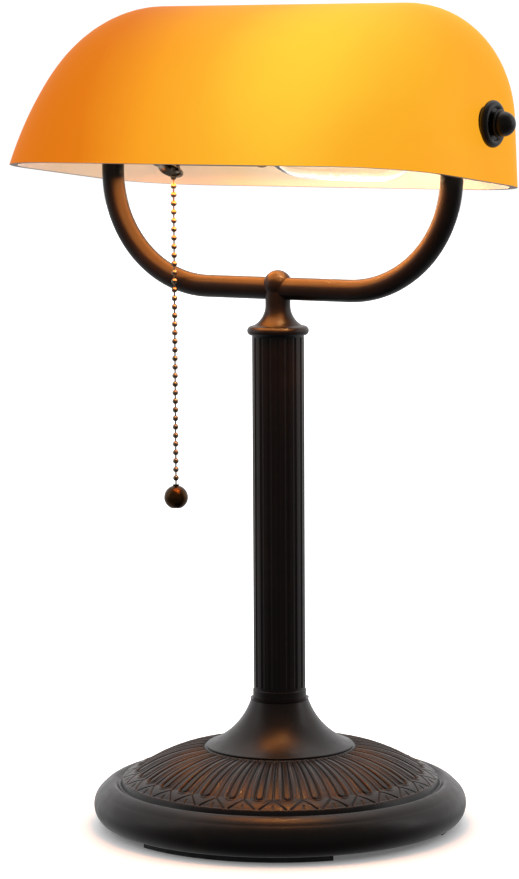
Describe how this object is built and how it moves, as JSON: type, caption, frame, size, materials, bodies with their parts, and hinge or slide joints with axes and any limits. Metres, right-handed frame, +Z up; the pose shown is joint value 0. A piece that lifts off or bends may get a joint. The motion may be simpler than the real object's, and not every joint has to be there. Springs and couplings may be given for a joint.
{
  "type": "banker_desk_lamp",
  "caption": "Banker-style desk lamp: dark bronze embossed round base, fluted column, U yoke with a tilting amber glass trough shade, tubular filament bulb and pull-chain switch.",
  "frame": {"origin": "On the resting plane, on the column's axis, which is also the centre of the round base.", "axes": "+X along the shade towards its right-hand knob, +Y to the back where the cord leaves the base, +Z up from the table."},
  "size_m": [0.264, 0.1895, 0.4135],
  "materials": {
    "dark_bronze": "satin",
    "antique_brass": "satin",
    "brass": "satin",
    "amber_glass": "gloss",
    "clear_glass": "gloss",
    "cast_iron": "matt",
    "steel": "satin",
    "rubber": "matt",
    "phenolic": "matt",
    "nickel": "gloss",
    "filament": "matt",
    "lead_sheath": "matt",
    "fibre_paper": "matt",
    "cover_sheet": "matt"
  },
  "bodies": {
    "lamp_frame": {"base_plate": "dark_bronze", "base_weight": "cast_iron", "base_cover": "cover_sheet", "base_feet": "rubber", "cover_screws": "steel", "cord_bushing": "phenolic", "cord_clamp": "phenolic", "rod_washer": "steel", "rod_nut": "steel", "threaded_rod": "steel", "cone_foot": "dark_bronze", "column_tube": "dark_bronze", "column_collar": "dark_bronze", "neck_knuckle": "dark_bronze", "neck_set_screw": "dark_bronze", "yoke_tube": "dark_bronze", "lamp_lead": "lead_sheath", "pivot_fitting_left": "dark_bronze", "pivot_fitting_right": "dark_bronze", "pivot_stud_left": "steel", "pivot_stud_right": "steel", "stud_locknuts": "brass", "stud_washers": "brass", "holder_nipple": "brass", "holder_cap": "antique_brass", "cap_set_screw": "brass", "holder_shell": "antique_brass", "holder_liner": "fibre_paper", "switch_body": "phenolic", "terminal_screws": "brass", "cam_pin": "steel", "return_spring": "steel", "bell_mouth": "antique_brass", "screw_shell": "brass", "shell_seat": "phenolic", "centre_contact": "brass"},
    "shade": {"shade_glass": "amber_glass", "inner_gaskets": "rubber", "outer_gaskets": "rubber", "end_washer_left": "dark_bronze", "end_washer_right": "dark_bronze"},
    "knob_left_turner": {"knob_left": "dark_bronze"},
    "knob_right_turner": {"knob_right": "dark_bronze"},
    "bulb": {"bulb_base": "nickel", "bulb_insulator": "phenolic", "bulb_contact": "nickel", "bulb_glass": "clear_glass", "bulb_stem": "clear_glass", "bulb_filaments": "filament", "bulb_wires": "nickel"},
    "pull": {"pull_arm": "brass"},
    "cam": {"switch_cam": "phenolic"},
    "chain": {"pull_chain": "antique_brass"},
    "ball": {"pull_ball": "dark_bronze"}
  },
  "joints": [
    {"name": "shade_tilt", "type": "hinge", "parent": "lamp_frame", "child": "shade", "pos_m": [0, 0, 0.355], "axis": [1, 0, 0], "range_deg": [-35, 50]},
    {"name": "knob_left_turn", "type": "hinge", "parent": "lamp_frame", "child": "knob_left_turner", "pos_m": [-0.126, 0, 0.355], "axis": [1, 0, 0], "continuous": true},
    {"name": "knob_right_turn", "type": "hinge", "parent": "lamp_frame", "child": "knob_right_turner", "pos_m": [0.126, 0, 0.355], "axis": [1, 0, 0], "continuous": true},
    {"name": "bulb_turn", "type": "hinge", "parent": "lamp_frame", "child": "bulb", "pos_m": [0.02, 0, 0.349], "axis": [1, 0, 0], "continuous": true},
    {"name": "pull_switch", "type": "slide", "parent": "lamp_frame", "child": "pull", "axis": [0, -0.5736, -0.8192], "range_m": [0, 0.005], "stiffness_N_per_m": 300, "springref_m": -0.003, "deforming": ["return_spring"]},
    {"name": "cam_turn", "type": "hinge", "parent": "lamp_frame", "child": "cam", "pos_m": [-0.055, 0.00287, 0.3531], "axis": [1, 0, 0], "range_deg": [0, 90]},
    {"name": "chain_swing", "type": "hinge", "parent": "pull", "child": "chain", "pos_m": [-0.055, -0.01004, 0.33466], "axis": [1, 0, 0], "range_deg": [-25, 2]},
    {"name": "ball_swivel", "type": "hinge", "parent": "chain", "child": "ball", "pos_m": [-0.055, -0.01004, 0.1646], "axis": [0, 0, 1], "continuous": true}
  ],
  "couplings": [
    {"joint": "cam_turn", "follows": "pull_switch", "rad_per_m": 314.16}
  ]
}
